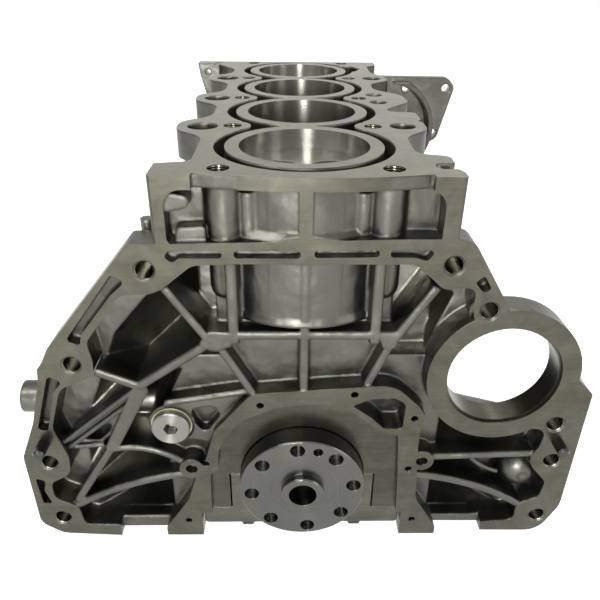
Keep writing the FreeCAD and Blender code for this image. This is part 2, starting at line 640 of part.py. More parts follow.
def jacket_cut():
    """Water jacket: an open channel round the cylinder towers, interrupted by the bolt bosses."""
    height = DECK_Z + 1 - JACKET_FLOOR_Z
    channel = [pin_z(0, y, JACKET_R, JACKET_FLOOR_Z, DECK_Z + 1) for y in BORES]
    channel += [box(-44, 44, row - 15, row + 15, JACKET_FLOOR_Z, DECK_Z + 1) for row in ROWS[1:-1]]
    inlet = [(30, BORES[-1] - 8), (60, BORES[-1] - 8, 8), (68, BORES[-1] + 12, 8), (60, BORES[-1] + 30, 6),
             (30, BORES[-1] + 40)]
    channel.append(Part.Face(rounded_wire(inlet, in_xy(DECK_Z + 1))).extrude(V(0, 0, -height)))
    towers = [pin_z(0, y, LINER_R, JACKET_FLOOR_Z - 1, DECK_Z + 2) for y in BORES]
    towers += [box(-9, 9, row - 6, row + 6, JACKET_FLOOR_Z - 1, DECK_Z + 2) for row in ROWS[1:-1]]
    towers += [pin_z(side * HEAD_BOLT_X, row, BOLT_BOSS_R, JACKET_FLOOR_Z - 1, DECK_Z + 2)
               for row in ROWS for side in (-1, 1)]
    return fuse(channel).cut(fuse(towers))


def deck_holes():
    holes = []
    for row in ROWS:
        for side in (-1, 1):
            holes.append(pin_z(side * HEAD_BOLT_X, row, HEAD_BOLT_R, DECK_Z - HEAD_BOLT_DEPTH, DECK_Z + 1))
    for row in ROWS[1:-1]:
        holes.append(pin_z(-71, row - 2, 11, DECK_Z - 70, DECK_Z + 1))
    holes.append(pin_z(71.5, ROWS[1] + 1, 9.5, DECK_Z - 70, DECK_Z + 1))
    holes.append(pin_z(65, ROWS[2] - 16, 7.5, DECK_Z - 60, DECK_Z + 1))
    holes.append(pin_z(65, ROWS[2] + 16, 7.5, DECK_Z - 60, DECK_Z + 1))
    holes.append(pin_z(73, ROWS[3] + 1, 9.5, DECK_Z - 70, DECK_Z + 1))
    holes.append(pin_z(DECK_LOBE_X + 1, ROWS[1] + 18, 4, DECK_Z - 12, DECK_Z + 1))
    holes.append(slab([(75, 15, 5), (95, 15), (95, 27), (75, 27, 5)], DECK_Z - 24, DECK_Z + 1))
    holes.append(pin_z(-91, ROWS[-1] + 2, 4, DECK_Z - 30, DECK_Z + 1))
    holes.append(pin_y(-102, 215.5, 3, BLOCK_LENGTH - 20, BLOCK_LENGTH + 1))
    return holes


def crank_bays():
    """Room for each crank throw, and the cap registers and main bearing housings between."""
    cuts = []
    edges = [REAR_WALL_Y] + [y for row in ROWS[1:-1] for y in (row - BULKHEAD_T / 2, row + BULKHEAD_T / 2)]
    edges.append(BLOCK_LENGTH - BULKHEAD_T)
    below = RAIL_Z - 5
    for y0, y1 in zip(edges[0::2], edges[1::2]):
        cuts.append(pin_y(0, 0, CRANKCASE_R, y0, y1))
        cuts.append(box(-CRANKCASE_R, CRANKCASE_R, y0, y1, below, 0))
    cuts.append(pin_y(0, 0, MAIN_HOUSING_R, -5, BLOCK_LENGTH + 5))
    slot = CAP_HALF_W + CAP_GAP
    cuts.append(box(-slot, slot, -5, BLOCK_LENGTH + 5, below, 0))
    ears = CAP_EAR_X + CAP_GAP
    cuts.append(box(-ears, ears, -5, REAR_WALL_Y, below, CAP_EAR_TOP_Z))
    cuts.append(pin_y(0, 0, CRANK_FLANGE_R + SEAL_GAP, -5, REAR_COUNTERBORE_Y))
    for row in main_centres():
        for side in (-1, 1):
            cuts.append(pin_z(side * CAP_BOLT_X, row, CAP_BOLT_R + BOLT_CLEARANCE, -1,
                              CAP_BOTTOM_Z + CAP_BOLT_LENGTH + 3))
    for side in (-1, 1):
        face = THRUST_ROW + side * BULKHEAD_T / 2
        low, high = sorted((face - side * THRUST_SEAT, face))
        cuts.append(half_ring(THRUST_R0 - 2, THRUST_R1 + 0.3, low, high, 1))
    return cuts


def main_centres():
    """Mid-plane of each main bearing."""
    middle = ROWS[1:-1]
    rear = (REAR_COUNTERBORE_Y + REAR_WALL_Y) / 2
    return [rear] + middle + [BLOCK_LENGTH - BULKHEAD_T / 2]


def flywheel_end_holes():
    holes = []
    for x, z in bell_bolts():
        holes.append(pin_y(x, z, BELL_BOLT_R, -1, BELL_BOLT_DEPTH))
        holes.append(cone_y(x, z, BELL_BOLT_R + 2, BELL_BOLT_R, -0.6, 1.4))
    for x, z in SEAL_SCREWS:
        holes.append(pin_y(x, z, 2.6, -1, 12))
    for x, z in SEAL_DOWELS:
        holes.append(pin_y(x, z, 4.2, -1, 8))
    for side in (-1, 1):
        holes.append(pin_y(side * DOWEL_X, DOWEL_Z, DOWEL_R, -1, DOWEL_SEAT))
    holes.append(pin_y(PLUG_X, PLUG_Z, PLUG_R + 2.2, -1, PLUG_FACE_Y))
    holes.append(pin_y(PLUG_X, PLUG_Z, PLUG_SHANK_R, PLUG_FACE_Y - 1, PLUG_FACE_Y + PLUG_SHANK))
    holes.append(pin_y(STARTER_X, STARTER_Z, STARTER_R, -1, SHELL_END_Y + 20))
    holes.append(pin_y(STARTER_X, STARTER_Z, STARTER_R + 1.6, -1, 2.5))
    return holes


def rail_holes():
    step = (BLOCK_LENGTH - 30) / 6
    return [pin_z(side * 102.5, 22 + step * k, 3.4, RAIL_Z - 1, RAIL_Z + 9)
            for side in (-1, 1) for k in range(7)]


def make_block():
    shells, hollows = bell_shells()
    hollow = fuse(hollows)
    starter_room = pin_y(STARTER_X, STARTER_Z, STARTER_R + 6, STARTER_DEPTH, SHELL_END_Y + 15)
    shell = fuse(shells).cut(hollow).cut(starter_room)
    forms = fuse(rib_forms() + rear_wall_forms())
    inside = hollow.fuse(box(-60, 60, -1, SHELL_END_Y, 60, BAND_Z + 1))
    inside = inside.cut(pin_y(0, 0, 60, -5, 40))
    ribs = forms.common(inside.common(box(-300, 300, 0, 200, RAIL_Z, 230)))
    body = fuse([deck_body(), crankcase(), front_wall(), sump_rail(), accessory_plate()] + side_forms())
    behind_flange = box(-300, 300, -20, 14, RAIL_Z - 5, BAND_Z)
    body = body.cut(fuse(rear_panel_cut() + rear_wall_pockets() + [behind_flange]))
    panel = fuse(rear_panel_forms()).common(box(PILLAR_L - 1, PILLAR_R + 1, 0, 40, LEDGE_Z - 1, LIP_Z + 1))
    land = plate(seal_land_outline(), 0, 20)
    left_foot = [(-DECK_LOBE_X + 1, 0, 2), (-DECK_LOBE_X + 1, 24), (PILLAR_L, 24), (PILLAR_L, 0)]
    right_foot = [(DECK_LOBE_X, 0, 2), (DECK_LOBE_X, 10), (PILLAR_R, 24), (PILLAR_R, 0)]
    pillars = [slab(left_foot, BAND_Z, DECK_Z), slab(right_foot, BAND_Z, DECK_Z)]
    body = fuse([body, deck_lip(), panel] + pillars)
    body = fuse([body, shell, ribs])
    body = fuse([body, land, flange_plate()] + starter_ring())
    cavity = plate([(33, 66.5, 1), (45, 72.5, 4), (61, 73.5, 6), (69, 68, 5), (68.5, 46.5, 3), (56, 46.5, 3),
                    (46, 56.5, 12)], -1, 18)
    recess = plate(seal_recess_outline(), -1, REAR_RECESS)
    cuts = [recess, cavity] + band_slots() + flange_slots() + deck_holes() + crank_bays()
    cuts += flywheel_end_holes() + rail_holes() + [starter_room]
    cuts += [pin_z(0, y, BORE_R, BORE_BOTTOM_Z - 30, DECK_Z + 1) for y in BORES]
    cuts.append(jacket_cut())
    return body.cut(cuts)


# ---- main bearings --------------------------------------------------------------------------

def make_main_cap(row):
    """A cap under one main bearing; the rear one has ears and the seal's counterbore."""
    rear = row == main_centres()[0]
    y0, y1 = cap_span(row)
    low = CAP_BOTTOM_Z
    corners = [(-CAP_HALF_W, 0), (CAP_HALF_W, 0)]
    if rear:
        corners += [(CAP_HALF_W, CAP_EAR_TOP_Z), (CAP_EAR_X, CAP_EAR_TOP_Z, 1.5), (CAP_EAR_X, low, 3),
                    (-CAP_EAR_X, low, 3), (-CAP_EAR_X, CAP_EAR_TOP_Z, 1.5), (-CAP_HALF_W, CAP_EAR_TOP_Z)]
    else:
        corners += [(CAP_HALF_W, -24, 6), (CAP_HALF_W, low, 4)]
        corners += [(-CAP_HALF_W, low, 4), (-CAP_HALF_W, -24, 6)]
    cap = plate(corners, y0, y1)
    cuts = [pin_y(0, 0, MAIN_HOUSING_R, y0 - 1, y1 + 1)]
    if rear:
        cuts.append(pin_y(0, 0, CRANK_FLANGE_R + SEAL_GAP, y0 - 1, REAR_COUNTERBORE_Y))
    for side in (-1, 1):
        cuts.append(pin_z(side * CAP_BOLT_X, row, CAP_BOLT_R + BOLT_CLEARANCE, low - 1, 1))
    return cap.cut(cuts)


def cap_span(row):
    if row == main_centres()[0]:
        return REAR_RECESS, REAR_WALL_Y
    return row - BULKHEAD_T / 2, row + BULKHEAD_T / 2


def make_main_cap_bolts():
    bolts = []
    for row in main_centres():
        for side in (-1, 1):
            x = side * CAP_BOLT_X
            shank = pin_z(x, row, CAP_BOLT_R, CAP_BOTTOM_Z, CAP_BOTTOM_Z + CAP_BOLT_LENGTH)
            flange = pin_z(x, row, CAP_BOLT_R + 4, CAP_BOTTOM_Z - 2, CAP_BOTTOM_Z)
            bolts.append(fuse([shank, flange, hexagon(x, row, 13, CAP_BOTTOM_Z - 10, CAP_BOTTOM_Z - 2)]))
    return Part.makeCompound(bolts)


def make_main_bearings(side):
    """Plain half shells in the five housings: side 1 above, side -1 below the parting line."""
    shells = []
    for row in main_centres():
        y0, y1 = cap_span(row)
        y0 = max(y0, REAR_COUNTERBORE_Y)
        shells.append(half_ring(MAIN_R + OIL_CLEARANCE, MAIN_HOUSING_R, y0 + 0.8, y1 - 0.8, side))
    return Part.makeCompound(shells)


def make_thrust_washers():
    washers = []
    for side in (-1, 1):
        seat = THRUST_ROW + side * (BULKHEAD_T / 2 - THRUST_SEAT)
        web = THRUST_ROW + side * (MAIN_LENGTH / 2 - THRUST_PLAY)
        washers.append(half_ring(THRUST_R0, THRUST_R1, *sorted((seat, web)), 1))
    return Part.makeCompound(washers)


# ---- crankshaft -----------------------------------------------------------------------------

def throw_angle(index):
    """Turn of a throw from straight up, about +Y: the outer pair leads, the inner pair is opposite."""
    return CRANK_ANGLE if index in (0, CYLINDERS - 1) else CRANK_ANGLE + 180


def throw_centre(index):
    angle = math.radians(throw_angle(index))
    return THROW * math.sin(angle), THROW * math.cos(angle)


def crank_web(y0, y1, degrees):
    """A crank arm with its counterweight, drawn with the pin straight up."""
    arm = plate([(-22, THROW + 28, 20), (22, THROW + 28, 20), (35, 20, 16), (33, -6, 8), (66, -18, 6),
                 (66, -80), (-66, -80), (-66, -18, 6), (-33, -6, 8), (-35, 20, 16)], y0, y1)
    blank = Part.makeCone(COUNTERWEIGHT_R - 3, COUNTERWEIGHT_R, 3, V(0, y0, 0), Y_AXIS)
    blank = blank.fuse(pin_y(0, 0, COUNTERWEIGHT_R, y0 + 3, y1 - 3))
    blank = blank.fuse(Part.makeCone(COUNTERWEIGHT_R, COUNTERWEIGHT_R - 3, 3, V(0, y1 - 3, 0), Y_AXIS))
    return turned(arm.common(blank), degrees)


def make_crankshaft():
    half = MAIN_LENGTH / 2
    into_web = 5
    parts = [pin_y(0, 0, MAIN_R, CRANK_FLANGE_Y + 2, ROWS[0] + half + into_web)]
    parts += [pin_y(0, 0, MAIN_R, row - half - into_web, row + half + into_web) for row in ROWS[1:-1]]
    parts.append(pin_y(0, 0, MAIN_R, ROWS[-1] - half - into_web, BLOCK_LENGTH + 2))
    for k, bore_y in enumerate(BORES):
        x, z = throw_centre(k)
        y0 = ROWS[k] + half
        y1 = ROWS[k + 1] - half
        inner0 = bore_y - PIN_LENGTH / 2
        inner1 = bore_y + PIN_LENGTH / 2
        parts.append(crank_web(y0, inner0, throw_angle(k)))
        parts.append(crank_web(inner1, y1, throw_angle(k)))
        parts.append(pin_y(x, z, PIN_R, inner0 - into_web, inner1 + into_web))
    shaft = fuse(parts)
    flange = cone_y(0, 0, CRANK_FLANGE_R - 0.8, CRANK_FLANGE_R, CRANK_FLANGE_Y, CRANK_FLANGE_Y + 0.8)
    rim = pin_y(0, 0, CRANK_FLANGE_R, CRANK_FLANGE_Y + 0.8, CRANK_FLANGE_Y + CRANK_FLANGE_T)
    hub = pin_y(0, 0, PILOT_HUB_R, CRANK_FLANGE_Y - PILOT_HUB_PROUD + 0.8, CRANK_FLANGE_Y + 4)
    hub_edge = cone_y(0, 0, PILOT_HUB_R - 0.8, PILOT_HUB_R, CRANK_FLANGE_Y - PILOT_HUB_PROUD,
                      CRANK_FLANGE_Y - PILOT_HUB_PROUD + 0.8)
    nose = pin_y(0, 0, NOSE_R, BLOCK_LENGTH + 1, BLOCK_LENGTH + NOSE_LENGTH - 1.5)
    nose_y = BLOCK_LENGTH + NOSE_LENGTH
    nose_end = cone_y(0, 0, NOSE_R, NOSE_R - 1.5, nose_y - 1.5, nose_y)
    shaft = fuse([shaft, flange, rim, hub, hub_edge, nose, nose_end])
    hub_y = CRANK_FLANGE_Y - PILOT_HUB_PROUD
    cuts = [pin_y(0, 0, PILOT_R, hub_y - 1, hub_y + PILOT_DEPTH)]
    for k in range(FLYWHEEL_BOLTS):
        x, z = flywheel_hole(FLYWHEEL_FIRST_ANGLE + 360 / FLYWHEEL_BOLTS * k)
        cuts.append(pin_y(x, z, FLYWHEEL_HOLE_R, CRANK_FLANGE_Y - 1, CRANK_FLANGE_Y + CRANK_FLANGE_T - 2))
    x, z = flywheel_hole(FLYWHEEL_FIRST_ANGLE - 180 / FLYWHEEL_BOLTS)
    cuts.append(pin_y(x, z, 3.4, CRANK_FLANGE_Y - 1, CRANK_FLANGE_Y + 8))
    cuts.append(pin_y(0, 0, 8, BLOCK_LENGTH + NOSE_LENGTH - 40, BLOCK_LENGTH + NOSE_LENGTH + 1))
    cuts.append(key_slot())
    return shaft.cut(cuts)


def flywheel_hole(degrees):
    angle = math.radians(degrees)
    return FLYWHEEL_PCD_R * math.cos(angle), FLYWHEEL_PCD_R * math.sin(angle)


def key_slot():
    y0 = BLOCK_LENGTH + 10
    return box(-KEYWAY_W / 2, KEYWAY_W / 2, y0, y0 + 26, NOSE_R - 3.5, NOSE_R + 5)


def make_crank_key():
    y0 = BLOCK_LENGTH + 10
    key = box(-KEYWAY_W / 2, KEYWAY_W / 2, y0, y0 + 26, NOSE_R - 3.5, NOSE_R + 2.5)
    return key


# ---- rods and pistons -----------------------------------------------------------------------

def rod_tilt(index):
    """Lean of a rod from upright, about +Y, that puts its small end on the bore's axis."""
    return -math.degrees(math.asin(throw_centre(index)[0] / ROD_LENGTH))


def wrist_height(index):
    x, z = throw_centre(index)
    return z + math.sqrt(ROD_LENGTH ** 2 - x ** 2)


def placed_on_throw(shape, index):
    """From the rod's own frame, big end at the origin and small end above, to its place."""
    x, z = throw_centre(index)
    return moved(turned(shape, rod_tilt(index)), x, BORES[index], z)


def big_end_half(side):
    shoulder = ROD_BOLT_X + 6.5
    crown = BIG_END_R + 1
    half = ROD_WIDTH / 2
    return plate([(-shoulder, 0), (-shoulder, side * 15, 4), (-24, side * (crown - 11), 8),
                  (-12, side * crown, 10), (12, side * crown, 10), (24, side * (crown - 11), 8),
                  (shoulder, side * 15, 4), (shoulder, 0)],
                 -half, half)


def rod_bolt_holes():
    return [pin_z(side * ROD_BOLT_X, 0, ROD_BOLT_R + BOLT_CLEARANCE, -BIG_END_R - 5, ROD_BOLT_REACH + 2)
            for side in (-1, 1)]


def make_rod(index):
    half = ROD_WIDTH / 2
    shank = plate([(-20, 26), (-9.5, 60, 40), (-8, ROD_LENGTH - 18, 30), (-10, ROD_LENGTH), (10, ROD_LENGTH),
                   (8, ROD_LENGTH - 18, 30), (9.5, 60, 40), (20, 26)], -half + 3, half - 3)
    eye = pin_y(0, ROD_LENGTH, SMALL_END_R, -half, half)
    body = fuse([big_end_half(1), shank, eye])
    cuts = [pin_y(0, 0, BIG_END_BORE_R, -half - 1, half + 1),
            pin_y(0, ROD_LENGTH, WRIST_PIN_R + EYE_CLEARANCE, -half - 1, half + 1)]
    for side in (-1, 1):
        floor = side * 2.5
        pocket = [(-8, 44, 4), (-5, 62, 30), (-4, ROD_LENGTH - 22, 4), (4, ROD_LENGTH - 22, 4), (5, 62, 30),
                  (8, 44, 4)]
        cuts.append(plate(pocket, *sorted((floor, side * (half + 1)))))
    return placed_on_throw(body.cut(cuts + rod_bolt_holes()), index)


def make_rod_cap(index):
    half = ROD_WIDTH / 2
    cap = big_end_half(-1)
    reach = ROD_BOLT_HEAD_R + 0.6
    seats = [box(side * ROD_BOLT_X - reach, side * ROD_BOLT_X + reach, -half - 1, half + 1, -BIG_END_R - 5,
                 -ROD_CAP_SEAT) for side in (-1, 1)]
    cuts = [pin_y(0, 0, BIG_END_BORE_R, -half - 1, half + 1)] + rod_bolt_holes() + seats
    return placed_on_throw(cap.cut(cuts), index)


def make_rod_bolts(index):
    bolts = []
    for side in (-1, 1):
        x = side * ROD_BOLT_X
        shank = pin_z(x, 0, ROD_BOLT_R, -ROD_CAP_SEAT, ROD_BOLT_REACH)
        head = pin_z(x, 0, ROD_BOLT_HEAD_R, -ROD_CAP_SEAT - ROD_BOLT_HEAD_T, -ROD_CAP_SEAT)
        bolts.append(placed_on_throw(shank.fuse(head), index))
    return Part.makeCompound(bolts)


def make_rod_bearings(index):
    half = ROD_WIDTH / 2 - 1
    inner = PIN_R + OIL_CLEARANCE
    return Part.makeCompound([placed_on_throw(half_ring(inner, BIG_END_BORE_R, -half, half, side), index)
                              for side in (1, -1)])


def on_piston(shape, index):
    """From the piston's own frame, wrist pin axis at the origin, to its place."""
    return moved(shape, 0, BORES[index], wrist_height(index))


def make_piston(index):
    radius = BORE_R - PISTON_CLEARANCE
    crown = COMPRESSION_HEIGHT
    skirt = -PISTON_SKIRT
    body = pin_z(0, 0, radius, skirt, crown)
    cuts = [pin_z(0, 0, radius - 5.5, skirt - 1, crown - 9)]
    for side in (-1, 1):
        cuts.append(box(-30, 30, *sorted((side * (CLIP_Y + 2.5), side * 60)), skirt - 1, 7))
    for z, height in RING_GROOVES:
        floor = pin_z(0, 0, radius - RING_WALL - 0.4, z - 1, z + height + 1)
        groove = pin_z(0, 0, radius + 1, z, z + height).cut(floor)
        cuts.append(groove)
    body = body.cut(cuts)
    bosses = []
    for side in (-1, 1):
        y0, y1 = sorted((side * (ROD_WIDTH / 2 + 1.5), side * (CLIP_Y + 2.5)))
        bosses.append(plate([(-16, crown - 6), (16, crown - 6), (16, 0, 4), (11, -17, 8), (-11, -17, 8),
                             (-16, 0, 4)],
                            y0, y1))
    body = body.fuse(fuse(bosses))
    fits = [pin_y(0, 0, WRIST_PIN_R + PIN_FIT, -60, 60)]
    for side in (-1, 1):
        fits.append(pin_y(0, 0, WRIST_PIN_R + 1, *sorted((side * CLIP_Y, side * (CLIP_Y + 1.2)))))
        relief = pin_z(side * 18.5, -4, 16, crown - VALVE_RELIEF, crown + 1)
        fits.append(relief)
    return on_piston(body.cut(fits), index)


def make_piston_rings(index):
    radius = BORE_R - 0.03
    rings = []
    for z, height in RING_GROOVES:
        inside = pin_z(0, 0, radius - RING_WALL, z - 1, z + height + 1)
        ring = pin_z(0, 0, radius, z, z + height - 0.1).cut(inside)
        rings.append(on_piston(ring, index))
    return Part.makeCompound(rings)


def make_wrist_pin(index):
    half = WRIST_PIN_LENGTH / 2
    tube = pin_y(0, 0, WRIST_PIN_R, -half, half).cut(pin_y(0, 0, 6, -half - 1, half + 1))
    return on_piston(tube, index)


def make_pin_clips(index):
    clips = []
    for side in (-1, 1):
        y0, y1 = sorted((side * CLIP_Y, side * (CLIP_Y + 1.2)))
        clip = pin_y(0, 0, WRIST_PIN_R + 1, y0, y1).cut(pin_y(0, 0, WRIST_PIN_R - 1.2, y0 - 1, y1 + 1))
        clips.append(on_piston(clip.cut(box(-3, 3, y0 - 1, y1 + 1, -20, 0)), index))
    return Part.makeCompound(clips)


# ---- small pieces of the flywheel end -------------------------------------------------------

def make_bell_dowels():
    dowels = []
    for side in (-1, 1):
        x = side * DOWEL_X
        pin = pin_y(x, DOWEL_Z, DOWEL_R, 1.5 - DOWEL_PROUD, DOWEL_SEAT)
        tip = cone_y(x, DOWEL_Z, DOWEL_R - 1.2, DOWEL_R, -DOWEL_PROUD, 1.5 - DOWEL_PROUD)
        dowels.append(pin.fuse(tip))
    return Part.makeCompound(dowels)


def make_gallery_plug():
    head_y = PLUG_FACE_Y - PLUG_WASHER_T
    head = pin_y(PLUG_X, PLUG_Z, PLUG_R, head_y - PLUG_HEAD_T + 0.8, head_y)
    edge = cone_y(PLUG_X, PLUG_Z, PLUG_R - 0.8, PLUG_R, head_y - PLUG_HEAD_T, head_y - PLUG_HEAD_T + 0.8)
    shank = pin_y(PLUG_X, PLUG_Z, PLUG_SHANK_R, head_y - 1, PLUG_FACE_Y + PLUG_SHANK - 1)
    radius = PLUG_HEX_AF / math.sqrt(3)
    corners = [(PLUG_X + radius * math.cos(math.radians(60 * k)),
                PLUG_Z + radius * math.sin(math.radians(60 * k)))
               for k in range(6)]
    return fuse([head, edge, shank]).cut(plate(corners, head_y - PLUG_HEAD_T - 1, head_y + 4))


def make_plug_washer():
    y0 = PLUG_FACE_Y - PLUG_WASHER_T
    hole = pin_y(PLUG_X, PLUG_Z, PLUG_SHANK_R, 0, 20)
    return pin_y(PLUG_X, PLUG_Z, PLUG_R + 1, y0, PLUG_FACE_Y).cut(hole)


# ---- every node, saved ----------------------------------------------------------------------

nodes = {
    "block": make_block(),
    "main_cap_bolts": make_main_cap_bolts(),
    "main_bearing_uppers": make_main_bearings(1),
    "main_bearing_lowers": make_main_bearings(-1),
    "thrust_washers": make_thrust_washers(),
    "crankshaft": make_crankshaft(),
    "crank_key": make_crank_key(),
    "bell_dowels": make_bell_dowels(),
    "gallery_plug": make_gallery_plug(),
    "plug_washer": make_plug_washer(),
}
for number, row in enumerate(reversed(main_centres()), 1):
    nodes["main_cap_%d" % number] = make_main_cap(row)
for index in range(CYLINDERS):
    number = CYLINDERS - index       # cylinders are counted from the front, the flywheel end is last
    nodes["rod_%d" % number] = make_rod(index)
    nodes["rod_cap_%d" % number] = make_rod_cap(index)
    nodes["rod_bolts_%d" % number] = make_rod_bolts(index)
    nodes["rod_bearings_%d" % number] = make_rod_bearings(index)
    nodes["piston_%d" % number] = make_piston(index)
    nodes["piston_rings_%d" % number] = make_piston_rings(index)
    nodes["wrist_pin_%d" % number] = make_wrist_pin(index)
    nodes["pin_clips_%d" % number] = make_pin_clips(index)

os.makedirs("parts", exist_ok=True)
for name, shape in nodes.items():
    shape.exportStep("parts/%s.step" % name)
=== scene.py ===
import json
import math

import bpy
from mathutils import Matrix, Vector


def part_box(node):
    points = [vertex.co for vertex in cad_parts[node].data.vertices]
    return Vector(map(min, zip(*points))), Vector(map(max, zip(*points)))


# Looks of the engine short block. Lengths are in metres, in the frame of the CAD model:
# +Y runs along the crankshaft from the flywheel end to the front, +Z up the bores, +X right.

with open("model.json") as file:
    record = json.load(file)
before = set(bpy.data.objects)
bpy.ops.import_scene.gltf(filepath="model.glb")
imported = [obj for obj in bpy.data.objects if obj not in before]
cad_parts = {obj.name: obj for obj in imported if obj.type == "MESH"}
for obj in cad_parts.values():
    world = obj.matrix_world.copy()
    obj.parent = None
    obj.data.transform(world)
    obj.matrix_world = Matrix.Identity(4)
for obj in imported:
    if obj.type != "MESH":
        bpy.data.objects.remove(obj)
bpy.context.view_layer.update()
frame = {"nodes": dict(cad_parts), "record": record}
nodes = frame["nodes"]

MM = 0.001

# cylinders and deck
BORE_R = 42.0 * MM
BORE_PITCH = 102.0 * MM
CYLINDERS = 4
FIRST_BORE_Y = 66.0 * MM
BORE_ROW_HALF = (CYLINDERS - 1) * BORE_PITCH / 2 + BORE_R
BORE_ROW_MIDDLE = FIRST_BORE_Y + (CYLINDERS - 1) * BORE_PITCH / 2
DECK_BOLT_X = 50.0 * MM
DECK_BOLT_R = 6.5 * MM
DECK_THREAD_DEPTH = 67.0 * MM

# flywheel end of the block
SEAL_RECESS = 5.5 * MM
STARTER_AXIS = (131.3 * MM, 89.6 * MM)
STARTER_R = 36.6 * MM
STARTER_DEPTH = 21.0 * MM
BELL_BOLT_R = 5.6 * MM
BELL_THREAD_DEPTH = 30.0 * MM
BELL_BOLTS = [(-95, 167.5), (-149, 100), (88, 171), (114, 140), (174, 50),
              (-178.5, 16.5), (178.5, 16.5), (-178.5, -38.5), (178.5, -38.5)]

# flywheel bolts in the crankshaft
FLYWHEEL_PCD_R = 36.2 * MM
FLYWHEEL_HOLE_R = 5.2 * MM
FLYWHEEL_BOLTS = 8
FLYWHEEL_FIRST_ANGLE = math.radians(96.0)
FLYWHEEL_FLANGE_Y = 8.0 * MM      # the flange's forward face

THREAD_PITCH = 1.5 * MM
EDGE = 0.2 * MM                   # room and fade at the edge of a finish

# how light each finish of the block is, and the painted light and shade on some of them
CAST_TONE = 0.09
MILLED_TONE = 0.078
DECK_PAINTED_LIGHT = 2.3                   # painted light: the deck, the top face, is made lighter than the other milled faces
RECESS_GAIN = 0.8
# partly painted reflection: the honed bore walls are set several times lighter than the other faces, around
# their own streaky honing grain
HONED_TONES_AND_SHEEN = (0.26, 0.42)
# painted highlights: the walls of the threaded holes in the block and the crank are made lighter than the
# faces round them
BLOCK_THREAD_HIGHLIGHT = 0.16
CRANK_THREAD_HIGHLIGHT = 0.22
OPEN_HOLLOW_PAINTED_SHADE = 0.7            # painted shade: darkens the corners of the cast hollows near the flywheel-end face
DEEP_HOLLOW_PAINTED_LIGHT = 2.8            # painted light: lightens the corners of the hollows behind it, which light hardly reaches

deck_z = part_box("block")[1].z
front_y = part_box("block")[1].y
rail_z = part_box("block")[0].z
lowest_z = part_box("crankshaft")[0].z


# ---- node helpers ---------------------------------------------------------------------------

class Graph:
    """The nodes of a material or world, built by short calls that return sockets."""

    def __init__(self, name, owner=None):
        self.owner = owner or bpy.data.materials.new(name)
        self.owner.use_nodes = True
        self.tree = self.owner.node_tree

    def node(self, kind, inputs=None, **settings):
        made = self.tree.nodes.new(kind)
        for key, value in settings.items():
            setattr(made, key, value)
        for key, value in (inputs or {}).items():
            self.put(made.inputs[key], value)
        return made

    def put(self, socket, value):
        if isinstance(value, bpy.types.NodeSocket):
            self.tree.links.new(value, socket)
        else:
            socket.default_value = value

    def math(self, operation, a, b=0.0, c=0.0):
        return self.node("ShaderNodeMath", {0: a, 1: b, 2: c}, operation=operation).outputs[0]

    def product(self, first, *others):
        for value in others:
            first = self.math("MULTIPLY", first, value)
        return first

    def largest(self, first, *others):
        for value in others:
            first = self.math("MAXIMUM", first, value)
        return first

    def step(self, value, low, high):
        """0 below low and 1 above high, smooth between; low may be the larger."""
        made = self.node("ShaderNodeMapRange", {"Value": value, "From Min": low, "From Max": high},
                         interpolation_type="SMOOTHSTEP")
        return made.outputs["Result"]

    def within(self, value, limit, fade=EDGE):
        """1 up to the limit, and fading to 0 beyond it."""
        return self.step(value, limit + fade, limit)

    def spread(self, value, low, high):
        made = self.node("ShaderNodeMapRange", {"Value": value, "To Min": low, "To Max": high})
        return made.outputs["Result"]

    def mix(self, factor, a, b):
        made = self.node("ShaderNodeMix", data_type="FLOAT")
        self.put(made.inputs[0], factor)
        self.put(made.inputs[2], a)
        self.put(made.inputs[3], b)
        return made.outputs[0]

    def noise(self, scale, detail=2.0, rough=0.5, stretch=(1, 1, 1), distortion=0.0):
        where = self.node("ShaderNodeMapping", {"Vector": self.place(), "Scale": stretch})
        made = self.node("ShaderNodeTexNoise", {"Vector": where.outputs[0], "Scale": scale, "Detail": detail,
                                                "Roughness": rough, "Distortion": distortion})
        return made.outputs["Fac"]

    def place(self):
        if not hasattr(self, "_place"):
            self._place = self.node("ShaderNodeTexCoord").outputs["Object"]
        return self._place

    def axes(self):
        """The place's x, y and z."""
        if not hasattr(self, "_axes"):
            self._axes = self.node("ShaderNodeSeparateXYZ", {0: self.place()}).outputs
        return self._axes

    def facing(self):
        """The x, y and z of the surface's own normal."""
        normal = self.node("ShaderNodeNewGeometry").outputs["True Normal"]
        return self.node("ShaderNodeSeparateXYZ", {0: normal}).outputs

    def bump(self, height, strength, distance, normal=None):
        inputs = {"Height": height, "Strength": strength, "Distance": distance}
        if normal is not None:
            inputs["Normal"] = normal
        return self.node("ShaderNodeBump", inputs).outputs[0]

    def soft_edges(self, radius):
        return self.node("ShaderNodeBevel", {"Radius": radius}, samples=6).outputs[0]

    def recess(self, distance):
        """1 in the open and towards 0 deep in a corner."""
        return self.node("ShaderNodeAmbientOcclusion", {"Distance": distance}, samples=6).outputs["AO"]

    def radius_about(self, a, b, centre):
        """Distance from an axis, given the two coordinates across it."""
        across = self.math("SUBTRACT", a, centre[0])
        along = self.math("SUBTRACT", b, centre[1])
        squares = self.math("ADD", self.product(across, across), self.product(along, along))
        return self.math("SQRT", squares)

    def from_nearest(self, value, first, pitch):
        """Signed distance from the nearest of a row of places that holds first."""
        shifted = self.math("ADD", value, (CYLINDERS + 0.5) * pitch - first)
        return self.math("SUBTRACT", self.math("MODULO", shifted, pitch), pitch / 2)

    def ridges(self, along):
        """The height of a thread that runs along this axis."""
        return self.math("SINE", self.math("MULTIPLY", along, 2 * math.pi / THREAD_PITCH))

    def finish(self, **sockets):
        shader = self.tree.nodes["Principled BSDF"]
        for name, value in sockets.items():
            self.put(shader.inputs[name.replace("_", " ")], value)
        return self.owner


